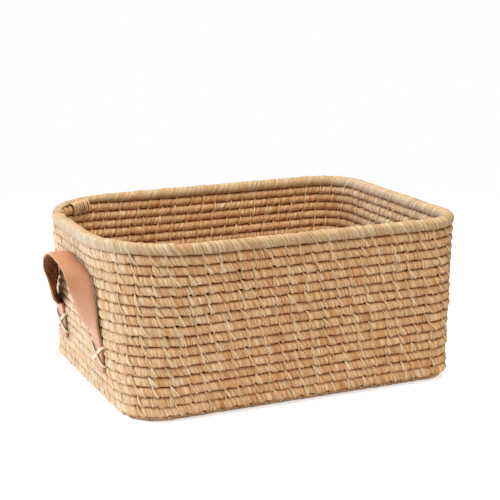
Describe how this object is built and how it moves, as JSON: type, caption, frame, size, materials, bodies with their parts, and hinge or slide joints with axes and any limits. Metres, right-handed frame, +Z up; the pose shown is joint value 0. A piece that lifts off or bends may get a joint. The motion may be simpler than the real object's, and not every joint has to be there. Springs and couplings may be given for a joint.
{
  "type": "storage basket",
  "caption": "Rectangular storage basket wound from one raffia-wrapped coil, with a leather strap handle lashed to each short wall.",
  "frame": {"origin": "on the ground under the middle of the basket", "axes": "+X along the basket's length, -Y out of the long side shown in the picture, +Z up"},
  "size_m": [0.4264, 0.2818, 0.1717],
  "materials": {
    "raffia": "dry natural raffia, wrapped over a bundle",
    "lashing_raffia": "dry pale raffia ribbon",
    "leather": "smooth vegetable-tanned leather with a suede back"
  },
  "bodies": {
    "basket": {"base_coil": "raffia", "wall_coil": "raffia", "rim_coil": "raffia", "strap_end_left_front": "leather", "strap_end_left_back": "leather", "lashing_left_front": "lashing_raffia", "lashing_left_back": "lashing_raffia", "strap_end_right_front": "leather", "strap_end_right_back": "leather", "lashing_right_front": "lashing_raffia", "lashing_right_back": "lashing_raffia"},
    "handle_left": {"strap_left": "leather"},
    "handle_right": {"strap_right": "leather"}
  },
  "joints": [
    {"name": "handle_left_fold", "type": "hinge", "parent": "basket", "child": "handle_left", "pos_m": [-0.18385, 0, 0.0703], "axis": [0, -1, 0], "range_deg": [0, 85]},
    {"name": "handle_right_fold", "type": "hinge", "parent": "basket", "child": "handle_right", "pos_m": [0.18385, 0, 0.0703], "axis": [0, 1, 0], "range_deg": [0, 85]}
  ]
}
